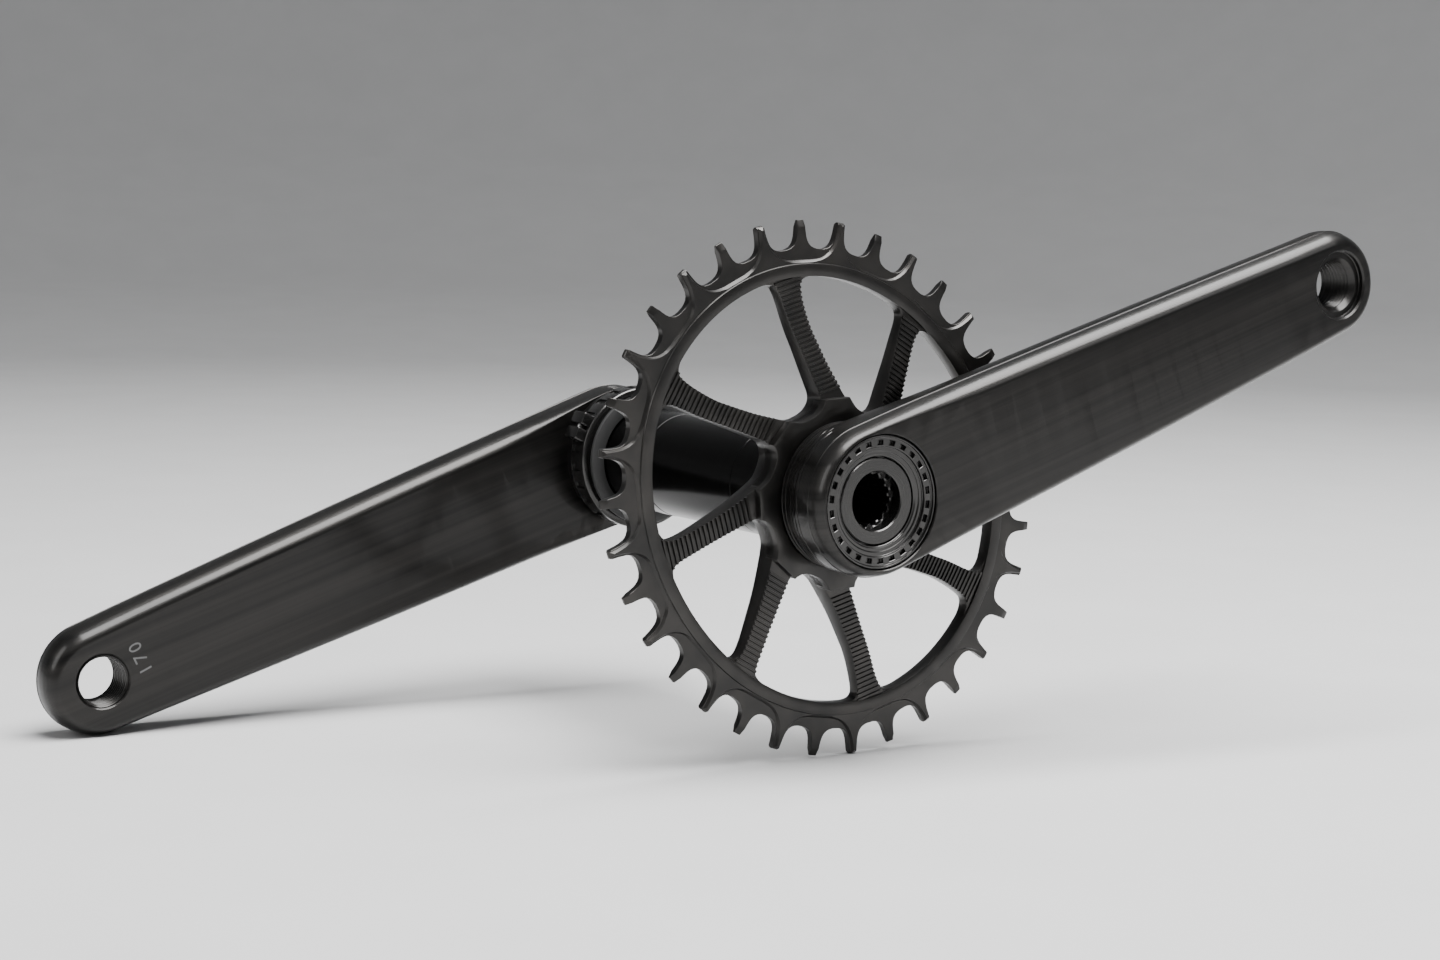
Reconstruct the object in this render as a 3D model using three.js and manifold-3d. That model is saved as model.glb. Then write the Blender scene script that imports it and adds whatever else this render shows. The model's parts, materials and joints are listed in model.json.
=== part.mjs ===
// Bicycle crankset with a single oval chainring, two arms and a hollow 30 mm spindle.
// Millimetres. Y runs along the spindle with the drive side at -Y, +X leads towards the
// drive arm's pedal and +Z is up. The origin is on the spindle axis, midway between the
// outer faces of the two pedal eyes.
import * as THREE from 'three';
import { mergeVertices } from 'three/addons/utils/BufferGeometryUtils.js';
import Module from 'manifold-3d';

const wasm = await Module();
wasm.setup();

// ---- driving dimensions (mm) ----
const ARM_LENGTH = 170;
const CRANK_ANGLE = 19.5;
const PITCH = 12.7;
const TEETH = 34;
const CHAINLINE = 46.4;
const OVALITY = 0.059;
const OVAL_ANGLE = 110.2;
const FIRST_TOOTH_ANGLE = 160.9;
const TIP_ABOVE_PITCH = 2.2;
const ROOT_DEPTH = 7.9;
const RIM_DEPTH = 14.7;
const BAND_DEPTH = 11;
const RING_FRONT = 2.2;
const RING_BACK = 2.0;
const HUB_FRONT = 6.7;
const DISH = 2.8;
const HUB_PLATE_R = 26.4;
const NARROW_TOOTH = 2.1;
const WIDE_TOOTH = 3.6;
const SPOKES = 8;
const SPOKE_ANGLE = 41;
const GAP = 0.3;

const SPINDLE_R = 15;
const SPINDLE_WAIST_R = 14.7;
const SPINDLE_BORE_R = 11.6;
const SPINDLE_THREAD_R = 10.8;
const SPINDLE_END = 60.3;
const BEARING_SEAT_IN = 22.9;
const SPLINES = 16;
const SPLINE_R = 13.0;
const SPLINE_ROOT_R = 12.3;

const HUB_FACE = 71.8;
const ARM_THICK = 14.4;
const ARM_HUB_R = 20.3;
const ARM_EYE_R = 15.5;
const ARM_LEAN = 4.3;
const EDGE_HUB = 2.3;
const EDGE_TOP = 4.3;
const EDGE_BOTTOM = 3.2;
const COLLAR_R = 19.6;
const BOSS_R = 17;
const BOSS_END = 44.4;
const NECK_R = 16.7;
const NECK_END = 48.3;
const PEDAL_R = 7.1;
const PEDAL_SEAT_R = 9.7;
const PEDAL_SEAT_DEPTH = 1.8;

const CAP_BORE_R = 17.8;
const CAP_BORE_END = 65.6;
const FLANGE_POCKET_R = 14.2;
const WEB_OUT = 62.6;
const WEB_IN = 60.6;
const WEB_HOLE_R = 10.9;
const CAP_NOTCHES = 26;

// ---- helpers ----
const rad = (deg) => (deg * Math.PI) / 180;
const polar = (r, deg) => new THREE.Vector2(r * Math.cos(rad(deg)), r * Math.sin(rad(deg)));

function solid(geometry) {
  const g = geometry.clone();
  g.deleteAttribute('normal');
  g.deleteAttribute('uv');
  const m = mergeVertices(g, 1e-4);
  return new wasm.Manifold(new wasm.Mesh({
    numProp: 3,
    vertProperties: new Float32Array(m.attributes.position.array),
    triVerts: new Uint32Array(m.index.array),
  }));
}

function geometryOf(body) {
  const mesh = body.getMesh();
  const g = new THREE.BufferGeometry();
  g.setAttribute('position', new THREE.BufferAttribute(new Float32Array(mesh.vertProperties), 3));
  g.setIndex(new THREE.BufferAttribute(new Uint32Array(mesh.triVerts), 1));
  return g;
}

// Solid of revolution about Y from [radius, y] pairs that close on the axis or on themselves.
function revolve(pairs, segments = 32) {
  const points = pairs.map(([r, y]) => new THREE.Vector2(r, y));
  const g = new THREE.LatheGeometry(points, segments);
  const m = solid(g);
  if (m.volume() > 0) {
    return m;
  }
  g.setIndex(Array.from(g.index.array).reverse());
  return solid(g);
}

// A revolved solid from [radius, outboard distance] pairs; side is -1 drive, +1 left.
function turned(side, pairs, segments = 32) {
  return revolve(pairs.map(([r, b]) => [r, side * b]), segments);
}

function tube(side, rIn, rOut, from, to, segments = 28) {
  return turned(side, [[rIn, from], [rOut, from], [rOut, to], [rIn, to], [rIn, from]], segments);
}

// Outline in X and Z extruded along Y from y0 to y1.
function plate(outline, y0, y1) {
  const g = new THREE.ExtrudeGeometry(new THREE.Shape(outline), { depth: y1 - y0, bevelEnabled: false });
  g.rotateX(Math.PI / 2);
  g.translate(0, y1, 0);
  return solid(g);
}

function rodAlong(direction, centre, radius, length, segments = 12) {
  const g = new THREE.CylinderGeometry(radius, radius, length, segments);
  const turn = new THREE.Quaternion().setFromUnitVectors(new THREE.Vector3(0, 1, 0), direction);
  g.applyQuaternion(turn);
  g.translate(centre.x, centre.y, centre.z);
  return solid(g);
}

function block(sx, sy, sz, x, y, z, turnDeg = 0) {
  const g = new THREE.BoxGeometry(sx, sy, sz);
  g.translate(x, y, z);
  g.rotateY(-rad(turnDeg));
  return solid(g);
}

function splineOutline(rOut, rRoot) {
  const points = [];
  const step = 360 / SPLINES;
  for (let k = 0; k < SPLINES; k += 1) {
    const a = k * step;
    points.push(polar(rOut, a));
    points.push(polar(rRoot, a + step / 2));
  }
  return points;
}

function sidePlate(side, outline, from, to) {
  const a = side * from;
  const b = side * to;
  return plate(outline, Math.min(a, b), Math.max(a, b));
}

// ---- chainring ----
const TIP_R = (PITCH * TEETH) / (2 * Math.PI) + TIP_ABOVE_PITCH;
const tipRadius = (deg) => TIP_R * (1 + OVALITY * Math.cos(2 * rad(deg - OVAL_ANGLE)));
const ringY = (outboard) => -(CHAINLINE + outboard);

// Point on the oval at an angle, moved along the oval's tangent and its outward normal.
function onOval(deg, along, out) {
  const p = polar(tipRadius(deg), deg);
  const q = polar(tipRadius(deg + 0.1), deg + 0.1);
  const t = q.clone().sub(p).normalize();
  const n = new THREE.Vector2(t.y, -t.x);
  return p.addScaledVector(t, along).addScaledVector(n, out);
}

// Angles at which the teeth are evenly spaced along the oval.
function toothAngles() {
  const steps = 3600;
  const lengths = [0];
  for (let i = 0; i < steps; i += 1) {
    const a = FIRST_TOOTH_ANGLE + (i * 360) / steps;
    const b = FIRST_TOOTH_ANGLE + ((i + 1) * 360) / steps;
    lengths.push(lengths[i] + polar(tipRadius(a), a).distanceTo(polar(tipRadius(b), b)));
  }
  const total = lengths[steps];
  const angles = [];
  let i = 0;
  for (let k = 0; k < TEETH; k += 1) {
    while (lengths[i + 1] < (k * total) / TEETH) {
      i += 1;
    }
    const part = ((k * total) / TEETH - lengths[i]) / (lengths[i + 1] - lengths[i]);
    angles.push(FIRST_TOOTH_ANGLE + ((i + part) * 360) / steps);
  }
  return { angles, spacing: total / TEETH };
}

const TOOTH_FLANK = [[4, -7.4], [2.3, -6.3], [1.5, -4.4], [0.95, 0]];
const WIDE_FLANK = [[5, -11.4], [4.2, -9.4], [2.3, -7.6], [1.1, -5], [0.6, -0.1]];

function toothedOutline(angles, spacing) {
  const points = [];
  for (const a of angles) {
    points.push(onOval(a, -spacing / 2, -ROOT_DEPTH));
    TOOTH_FLANK.forEach(([s, d]) => points.push(onOval(a, -s, d)));
    TOOTH_FLANK.slice().reverse().forEach(([s, d]) => points.push(onOval(a, s, d)));
  }
  return points;
}

function widePad(a) {
  const points = WIDE_FLANK.map(([s, d]) => onOval(a, -s, d));
  WIDE_FLANK.slice().reverse().forEach(([s, d]) => points.push(onOval(a, s, d)));
  return plate(points, ringY(WIDE_TOOTH / 2), ringY(-WIDE_TOOTH / 2));
}

// One window between two swept spokes: a nearly radial edge, the rim and a curved edge.
function windowOutline(a) {
  const rim = (deg) => tipRadius(a + deg) - RIM_DEPTH;
  const points = [[26.6, -3.1], [29.6, -1.7], [34, -0.2], [40, 1.3], [46, 2.7]].map(([r, t]) => polar(r, a + t));
  points.push(polar(rim(5) - 3, a + 3.4), polar(rim(6) - 0.8, a + 4.6));
  for (let deg = 8.4; deg <= 38; deg += 9.4) {
    points.push(polar(rim(deg), a + deg));
  }
  points.push(polar(rim(42) - 0.8, a + 40.3), polar(rim(43) - 3, a + 41.5));
  const swept = [[46, 40.7], [40, 38.2], [34.5, 35], [30.5, 31.2], [27.6, 27.4], [25, 22.8], [23.2, 18], [22.6, 11], [22.9, 3.5], [24.6, -1.8]];
  swept.forEach(([r, t]) => points.push(polar(r, a + t)));
  return points;
}

function chainring() {
  const { angles, spacing } = toothAngles();
  const root = [];
  for (let k = 0; k < 60; k += 1) {
    root.push(onOval(k * 6, 0, -BAND_DEPTH));
  }
  let ring = plate(root, ringY(RING_FRONT), ringY(-RING_BACK));
  ring = ring.add(plate(toothedOutline(angles, spacing), ringY(NARROW_TOOTH / 2), ringY(-NARROW_TOOTH / 2)));
  for (let k = 1; k < TEETH; k += 2) {
    ring = ring.add(widePad(angles[k]));
  }
  const back = CHAINLINE - RING_BACK;
  const front = CHAINLINE + RING_FRONT;
  ring = ring.add(turned(-1, [[0, back], [52, back], [52, front], [25, front + DISH], [0, front + DISH]], 48));
  ring = ring.add(tube(-1, 10, HUB_PLATE_R, back, CHAINLINE + HUB_FRONT, 36));
  for (let k = 0; k < SPOKES; k += 1) {
    const outline = windowOutline(SPOKE_ANGLE + (k * 360) / SPOKES);
    ring = ring.subtract(plate(outline, ringY(9), ringY(-5)));
  }
  ring = ring.subtract(turned(-1, [[0, 40], [20.7, 40], [20.7, CHAINLINE], [0, CHAINLINE]]));
  return ring.subtract(turned(-1, [[0, 40], [BOSS_R + GAP, 40], [BOSS_R + GAP, 55], [0, 55]]));
}

function lockring() {
  let ring = tube(-1, BOSS_R + GAP, 20.3, 43.7, 45.3, 36);
  for (let k = 0; k < 16; k += 1) {
    ring = ring.subtract(block(2.4, 1.8, 1.7, BOSS_R + GAP + 0.6, -43.9, 0, k * 22.5));
  }
  return ring;
}

// ---- arms ----
const armLean = (x) => ARM_LEAN * Math.min(1, Math.max(0, (x - 18) / 140));
const armHalf = (x) => ARM_HUB_R - (ARM_HUB_R - ARM_EYE_R) * Math.pow(Math.max(0, x) / ARM_LENGTH, 1.4);

// Points round the arm seen along Y, each with its share of edge rounding.
function armRound() {
  const round = [];
  for (let deg = 90; deg <= 270; deg += 15) {
    const side = deg < 180 ? EDGE_TOP : EDGE_BOTTOM;
    const near = Math.abs(Math.cos(rad(deg)));
    const edge = side + (EDGE_HUB - side) * Math.min(1, near * 1.6);
    round.push({ cx: 0, cz: 0, r: ARM_HUB_R, deg, edge });
  }
  for (let x = 24; x <= 150; x += 21) {
    round.push({ x, sign: -1, edge: EDGE_BOTTOM });
  }
  for (let deg = -90; deg <= 90; deg += 15) {
    const edge = EDGE_TOP + (EDGE_BOTTOM - EDGE_TOP) * (90 - deg) / 180;
    round.push({ cx: ARM_LENGTH, cz: 0, r: ARM_EYE_R, deg, edge });
  }
  for (let x = 150; x >= 24; x -= 21) {
    round.push({ x, sign: 1, edge: EDGE_TOP });
  }
  return round;
}

function armPoint(item, inset) {
  if (item.r === undefined) {
    return [item.x, item.sign * (armHalf(item.x) - inset * item.edge)];
  }
  const r = item.r - inset * item.edge;
  return [item.cx + r * Math.cos(rad(item.deg)), item.cz + r * Math.sin(rad(item.deg))];
}

// Arm body built from stacked outlines, as it lies on the drive side.
function armBody() {
  const round = armRound();
  const count = round.length;
  const half = ARM_THICK / 2;
  const depths = [0, 0.9, 2.6, 4.8, 7.2, 9.6, 11.8, 13.5, 14.4];
  const position = [];
  const index = [];
  depths.forEach((q) => {
    const part = Math.abs(half - q) / half;
    const inset = 1 - Math.sqrt(Math.max(0, 1 - part * part));
    round.forEach((item) => {
      const [x, z] = armPoint(item, inset);
      position.push(x, -(HUB_FACE + armLean(x) - q), z);
    });
  });
  for (let level = 0; level < depths.length - 1; level += 1) {
    for (let i = 0; i < count; i += 1) {
      const a = level * count + i;
      const b = level * count + ((i + 1) % count);
      index.push(a, b, b + count, a, b + count, a + count);
    }
  }
  const outline = round.map((item) => new THREE.Vector2(...armPoint(item, 1)));
  const last = (depths.length - 1) * count;
  THREE.ShapeUtils.triangulateShape(outline, []).forEach(([a, b, c]) => {
    index.push(a, c, b);
    index.push(last + a, last + b, last + c);
  });
  const g = new THREE.BufferGeometry();
  g.setAttribute('position', new THREE.BufferAttribute(new Float32Array(position), 3));
  g.setIndex(index);
  const body = solid(g);
  if (body.volume() > 0) {
    return body;
  }
  g.setIndex(index.reverse());
  return solid(g);
}

// Hollows turned into the hub end: spindle splines, web hole, bolt pocket and cap thread.
function hubBore(side) {
  const rim = [CAP_BORE_R, HUB_FACE - 0.5];
  const bore = turned(side, [
    [0, WEB_IN], [WEB_HOLE_R, WEB_IN], [WEB_HOLE_R, WEB_OUT], [FLANGE_POCKET_R, WEB_OUT],
    [FLANGE_POCKET_R, CAP_BORE_END], [CAP_BORE_R, CAP_BORE_END], rim,
    [CAP_BORE_R + 1.2, HUB_FACE + 0.7], [0, HUB_FACE + 0.7],
  ], 36);
  return bore.add(sidePlate(side, splineOutline(SPLINE_R + GAP, SPLINE_ROOT_R + GAP), 40, WEB_IN));
}

function pedalHole() {
  const face = HUB_FACE + ARM_LEAN;
  const hole = turned(-1, [
    [0, 50], [PEDAL_R + 0.7, 50], [PEDAL_R + 0.7, face - ARM_THICK], [PEDAL_R, face - ARM_THICK + 0.7],
    [PEDAL_R, face - PEDAL_SEAT_DEPTH], [PEDAL_SEAT_R, face - PEDAL_SEAT_DEPTH],
    [PEDAL_SEAT_R, face - 0.4], [PEDAL_SEAT_R + 1.4, face + 1], [0, face + 1],
  ], 36);
  return hole.translate([ARM_LENGTH, 0, 0]);
}

function driveArm() {
  const collar = tube(-1, 5, COLLAR_R, CHAINLINE + HUB_FRONT + GAP, HUB_FACE - 9, 36);
  const boss = tube(-1, 5, BOSS_R, BOSS_END, HUB_FACE - 9, 36);
  const body = armBody().add(collar).add(boss);
  return body.subtract(hubBore(-1)).subtract(pedalHole());
}

function leftArm() {
  const collar = tube(1, 5, ARM_HUB_R - 0.1, 53.9, HUB_FACE - 9, 36);
  const neck = tube(1, 5, NECK_R, NECK_END, HUB_FACE - 9, 36);
  const body = armBody().subtract(pedalHole()).rotate([0, 0, 180]);
  return body.add(collar).add(neck).subtract(hubBore(1));
}

function extractorCap(side) {
  let cap = turned(side, [
    [11.8, 67.4], [17.5, 67.4], [17.5, 71.4], [16.9, 71.4], [16.8, 70.7], [14.4, 70.7],
    [14.2, 69.6], [11.8, 69.6], [11.8, 67.4],
  ], 36);
  const middle = side * 70.7;
  for (let k = 0; k < CAP_NOTCHES; k += 1) {
    cap = cap.subtract(block(1.9, 2.4, 1.7, 15.6, middle, 0, (k * 360) / CAP_NOTCHES));
  }
  return cap;
}

function capSeal(side) {
  return turned(side, [[15.2, 65.9], [17.3, 65.9], [17.3, 67.1], [15.2, 67.1], [15.2, 65.9]]);
}

// Hollow crank bolt: head, captive flange and a shank that threads into the spindle.
function crankBolt(side) {
  const body = turned(side, [
    [5, 51], [10, 51], [10.5, 51.6], [10.5, 64.4], [13.8, 64.4], [13.8, 66.6], [11.4, 66.6],
    [11.4, 68.9], [11.1, 69.2], [5, 69.2], [5, 51],
  ]);
  const wide = turned(side, [[0, 60.5], [7.75, 60.5], [7.75, 68.8], [8.2, 69.3], [0, 69.3]], 32);
  return body.subtract(wide).subtract(sidePlate(side, splineOutline(7.5, 6.7), 50, 61));
}

const boltWasher = (side) => tube(side, WEB_HOLE_R, 13.8, WEB_OUT + GAP, 64.1);

function spindle() {
  const drive = -BOSS_END + GAP;
  const left = NECK_END - GAP;
  const body = revolve([
    [0, drive], [SPINDLE_R - 0.4, drive], [SPINDLE_R, drive + 0.4],
    [SPINDLE_R, -BEARING_SEAT_IN], [SPINDLE_WAIST_R, -BEARING_SEAT_IN + 0.4],
    [SPINDLE_WAIST_R, BEARING_SEAT_IN - 0.4], [SPINDLE_R, BEARING_SEAT_IN], [SPINDLE_R, left - 0.4],
    [SPINDLE_R - 0.4, left], [0, left],
  ], 36);
  const splines = plate(splineOutline(SPLINE_R, SPLINE_ROOT_R), -SPINDLE_END, SPINDLE_END);
  const bore = revolve([
    [0, -70], [SPINDLE_THREAD_R, -70], [SPINDLE_THREAD_R, -49], [SPINDLE_BORE_R, -48],
    [SPINDLE_BORE_R, 48], [SPINDLE_THREAD_R, 49], [SPINDLE_THREAD_R, 70], [0, 70],
  ], 36);
  return body.add(splines).subtract(bore);
}

// ---- bearing preload adjuster on the left arm's neck ----
const CLAMP_DEG = 135;

function preloadRing() {
  let ring = turned(1, [
    [15.4, 46.0], [20.6, 46.0], [21, 46.4], [21, 53.2], [20.6, 53.6], [17, 53.6],
    [17, 47.4], [15.4, 47.4], [15.4, 46.0],
  ], 36);
  for (let k = 0; k < 12; k += 1) {
    const deg = CLAMP_DEG + 30 + k * 25;
    ring = ring.subtract(block(1.6, 5, 2.2, 21.2, 51.4, 0, deg));
  }
  const lug = block(6.5, 6.6, 8.4, 20.9, 50.0, 0, CLAMP_DEG).subtract(tube(1, 0, 17, 40, 60, 36));
  ring = ring.add(lug).subtract(block(10, 9, 1, 19.6, 50, 0, CLAMP_DEG));
  const spot = polar(22.2, CLAMP_DEG);
  const across = polar(1, CLAMP_DEG + 90);
  const axis = new THREE.Vector3(across.x, 0, across.y);
  const centre = new THREE.Vector3(spot.x, 50, spot.y);
  const head = centre.clone().addScaledVector(axis, 3.9);
  return ring.subtract(rodAlong(axis, centre, 1.0, 14)).subtract(rodAlong(axis, head, 1.7, 3.4));
}

function clampScrew() {
  const spot = polar(22.2, CLAMP_DEG);
  const across = polar(1, CLAMP_DEG + 90);
  const axis = new THREE.Vector3(across.x, 0, across.y);
  const centre = new THREE.Vector3(spot.x, 50, spot.y);
  const shank = rodAlong(axis, centre.clone().addScaledVector(axis, -0.5), 0.7, 6.4);
  const head = rodAlong(axis, centre.clone().addScaledVector(axis, 3.4), 1.4, 1.6);
  const socket = rodAlong(axis, centre.clone().addScaledVector(axis, 4.1), 0.75, 1.2, 6);
  return shank.add(head).subtract(socket);
}

function waveWasher() {
  const count = 36;
  const position = [];
  const index = [];
  for (let k = 0; k < count; k += 1) {
    const a = (2 * Math.PI * k) / count;
    const y = 45.35 + 0.15 * Math.cos(3 * a);
    [[15.6, 0], [18.6, 0], [18.6, 0.3], [15.6, 0.3]].forEach(([r, rise]) => {
      position.push(r * Math.cos(a), y + rise - 0.15, r * Math.sin(a));
    });
  }
  for (let k = 0; k < count; k += 1) {
    for (let j = 0; j < 4; j += 1) {
      const a = 4 * k + j;
      const b = 4 * k + ((j + 1) % 4);
      const c = (a + 4) % (4 * count);
      const d = (b + 4) % (4 * count);
      index.push(a, b, d, a, d, c);
    }
  }
  const g = new THREE.BufferGeometry();
  g.setAttribute('position', new THREE.BufferAttribute(new Float32Array(position), 3));
  g.setIndex(index);
  const body = solid(g);
  if (body.volume() > 0) {
    return body;
  }
  g.setIndex(index.reverse());
  return solid(g);
}

// ---- assembly ----
const FINISH = {
  black: { color: 0x17181b, roughness: 0.32, metalness: 0.9 },
  ring: { color: 0x1b1c20, roughness: 0.38, metalness: 0.9 },
  gloss: { color: 0x101114, roughness: 0.2, metalness: 0.9 },
  steel: { color: 0x6e7175, roughness: 0.35, metalness: 1.0 },
  rubber: { color: 0x0d0d0e, roughness: 0.85, metalness: 0.0 },
  plastic: { color: 0x151516, roughness: 0.6, metalness: 0.0 },
};

const PIECES = [
  ['drive_arm', driveArm, 'black'],
  ['left_arm', leftArm, 'black'],
  ['spindle', spindle, 'gloss'],
  ['chainring', chainring, 'ring'],
  ['chainring_lockring', lockring, 'black'],
  ['lockring_washer', () => tube(-1, 17.6, 20.2, 45.6, 46.1), 'steel'],
  ['drive_bearing_spacer', () => tube(-1, SPINDLE_R + GAP, BOSS_R - 0.1, 43.3, 44.1), 'black'],
  ['drive_extractor_cap', () => extractorCap(-1), 'black'],
  ['left_extractor_cap', () => extractorCap(1), 'black'],
  ['drive_cap_seal', () => capSeal(-1), 'rubber'],
  ['left_cap_seal', () => capSeal(1), 'rubber'],
  ['drive_crank_bolt', () => crankBolt(-1), 'gloss'],
  ['left_crank_bolt', () => crankBolt(1), 'gloss'],
  ['drive_bolt_washer', () => boltWasher(-1), 'steel'],
  ['left_bolt_washer', () => boltWasher(1), 'steel'],
  ['preload_ring', preloadRing, 'black'],
  ['preload_clamp_screw', clampScrew, 'steel'],
  ['preload_thrust_washer', () => tube(1, SPINDLE_R + GAP, 19.4, 43.3, 44.7), 'plastic'],
  ['wave_washer', waveWasher, 'steel'],
];

const group = new THREE.Group();
for (const [name, make, finish] of PIECES) {
  const geometry = geometryOf(make());
  geometry.rotateY(-rad(CRANK_ANGLE));
  const mesh = new THREE.Mesh(geometry, new THREE.MeshStandardMaterial(FINISH[finish]));
  mesh.name = name;
  group.add(mesh);
}

export default group;
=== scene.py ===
import json
import math

import bmesh
import bpy
from mathutils import Euler, Matrix, Vector


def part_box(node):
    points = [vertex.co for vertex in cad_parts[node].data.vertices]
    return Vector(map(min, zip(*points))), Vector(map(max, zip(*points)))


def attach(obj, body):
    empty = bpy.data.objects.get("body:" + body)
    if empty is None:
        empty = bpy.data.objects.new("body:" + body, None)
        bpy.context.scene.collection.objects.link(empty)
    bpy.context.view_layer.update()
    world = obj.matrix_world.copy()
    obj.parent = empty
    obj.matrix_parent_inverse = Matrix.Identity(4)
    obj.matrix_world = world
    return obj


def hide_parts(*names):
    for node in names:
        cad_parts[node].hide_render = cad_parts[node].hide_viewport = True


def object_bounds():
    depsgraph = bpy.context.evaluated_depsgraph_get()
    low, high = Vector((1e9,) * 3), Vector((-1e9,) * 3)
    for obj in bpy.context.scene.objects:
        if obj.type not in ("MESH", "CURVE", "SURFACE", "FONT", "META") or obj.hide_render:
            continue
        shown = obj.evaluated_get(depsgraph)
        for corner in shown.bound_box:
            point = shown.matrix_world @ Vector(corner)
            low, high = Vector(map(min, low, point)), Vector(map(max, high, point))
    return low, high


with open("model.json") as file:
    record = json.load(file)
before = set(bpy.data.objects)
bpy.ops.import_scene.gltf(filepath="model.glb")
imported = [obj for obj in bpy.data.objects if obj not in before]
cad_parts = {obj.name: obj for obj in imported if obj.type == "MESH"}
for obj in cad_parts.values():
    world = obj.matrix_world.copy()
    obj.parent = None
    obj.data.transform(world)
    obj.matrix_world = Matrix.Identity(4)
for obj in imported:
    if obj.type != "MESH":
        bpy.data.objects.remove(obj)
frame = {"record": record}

cad_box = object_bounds()

# Shapes are worked in millimetres with the drive arm level along +X, then turned to the
# crank angle and brought to metres. "Out" is the distance from the middle along the spindle.


def opening_middle(name):
    boxes = frame["record"]["physics"]["openings"]
    low, high = next(box["box_m"] for box in boxes if box["name"] == name)
    return (Vector(low) + Vector(high)) * 500


EYE = opening_middle("drive_pedal_hole")
ARM_LENGTH = math.hypot(EYE.x, EYE.z)
CRANK_ANGLE = math.atan2(EYE.z, EYE.x)
EYE_FACE = -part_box("drive_arm")[0][1] * 1000
HUB_FACE = -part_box("drive_extractor_cap")[0][1] * 1000 + 0.4
TOOTH_PLANE = -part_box("chainring")[1][1] * 1000 + 2.0
ARM_LEAN = EYE_FACE - HUB_FACE
ARM_THICK = 14.4
HALF_THICK = ARM_THICK / 2
ARM_HUB_R = 20.3
ARM_EYE_R = 15.5

MERGE_DISTANCE = 0.0005

LEVEL_TO_CRANK = Matrix.Rotation(-CRANK_ANGLE, 4, "Y") @ Matrix.Scale(0.001, 4)
UPRIGHT = Matrix.Rotation(math.pi / 2, 4, "X")


# ---------------------------------------------------------------- finishes


class Wire:
    """A number on its way through a finish; arithmetic on it adds Math nodes."""

    def __init__(self, finish, socket):
        self.finish = finish
        self.socket = socket

    def _math(self, operation, first, second):
        return self.finish.node("ShaderNodeMath", {"operation": operation}, {0: first, 1: second})

    def __add__(self, other):
        return self._math("ADD", self, other)

    def __radd__(self, other):
        return self._math("ADD", other, self)

    def __sub__(self, other):
        return self._math("SUBTRACT", self, other)

    def __rsub__(self, other):
        return self._math("SUBTRACT", other, self)

    def __mul__(self, other):
        return self._math("MULTIPLY", self, other)

    def __rmul__(self, other):
        return self._math("MULTIPLY", other, self)

    def __truediv__(self, other):
        return self._math("DIVIDE", self, other)


class Finish:
    """A material on one Principled shader, with its pattern laid in the arm's own frame."""

    def __init__(self, name, **constants):
        self.material = bpy.data.materials.new(name)
        self.material.use_nodes = True
        self.tree = self.material.node_tree
        self.shader = self.tree.nodes["Principled BSDF"]
        for socket, value in constants.items():
            self.shader.inputs[socket.replace("_", " ")].default_value = value

    def node(self, kind, settings=None, inputs=None, output=0):
        node = self.tree.nodes.new(kind)
        for key, value in (settings or {}).items():
            setattr(node, key, value)
        for key, value in (inputs or {}).items():
            if isinstance(value, Wire):
                self.tree.links.new(value.socket, node.inputs[key])
            else:
                node.inputs[key].default_value = value
        return Wire(self, node.outputs[output])

    def feed(self, socket, wire):
        self.tree.links.new(wire.socket, self.shader.inputs[socket])

    def level_mm(self):
        """x, y and z in millimetres with the drive arm level."""
        at = self.node("ShaderNodeTexCoord", output=3)
        turned = self.node(
            "ShaderNodeMapping",
            {"vector_type": "POINT"},
            {"Vector": at, "Rotation": (0, CRANK_ANGLE, 0), "Scale": (1000, 1000, 1000)},
        )
        split = self.node("ShaderNodeSeparateXYZ", inputs={0: turned})
        outputs = split.socket.node.outputs
        return turned, Wire(self, outputs[0]), Wire(self, outputs[1]), Wire(self, outputs[2])

    def function(self, operation, *values):
        return self.node("ShaderNodeMath", {"operation": operation}, dict(enumerate(values)))

    def clamped(self, value, low, high):
        return self.function("MINIMUM", self.function("MAXIMUM", value, low), high)

    def vector(self, x, y, z):
        return self.node("ShaderNodeCombineXYZ", inputs={0: x, 1: y, 2: z})

    def noise(self, vector, scale, detail=2.0, rough=0.5):
        settings = {"noise_dimensions": "3D"}
        inputs = {"Vector": vector, "Scale": scale, "Detail": detail, "Roughness": rough}
        return self.node("ShaderNodeTexNoise", settings, inputs)

    def blend(self, factor, first, second):
        settings = {"data_type": "RGBA", "blend_type": "MIX"}
        node = self.node("ShaderNodeMix", settings, {0: factor, 6: first, 7: second}, output=2)
        return node

    def bump(self, height, strength, depth_mm):
        inputs = {"Height": height, "Strength": strength, "Distance": depth_mm / 1000}
        self.feed("Normal", self.node("ShaderNodeBump", inputs=inputs))


def grey(value, warm=0.0):
    return (value * (1 + warm), value, value * (1 - warm), 1)


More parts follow.
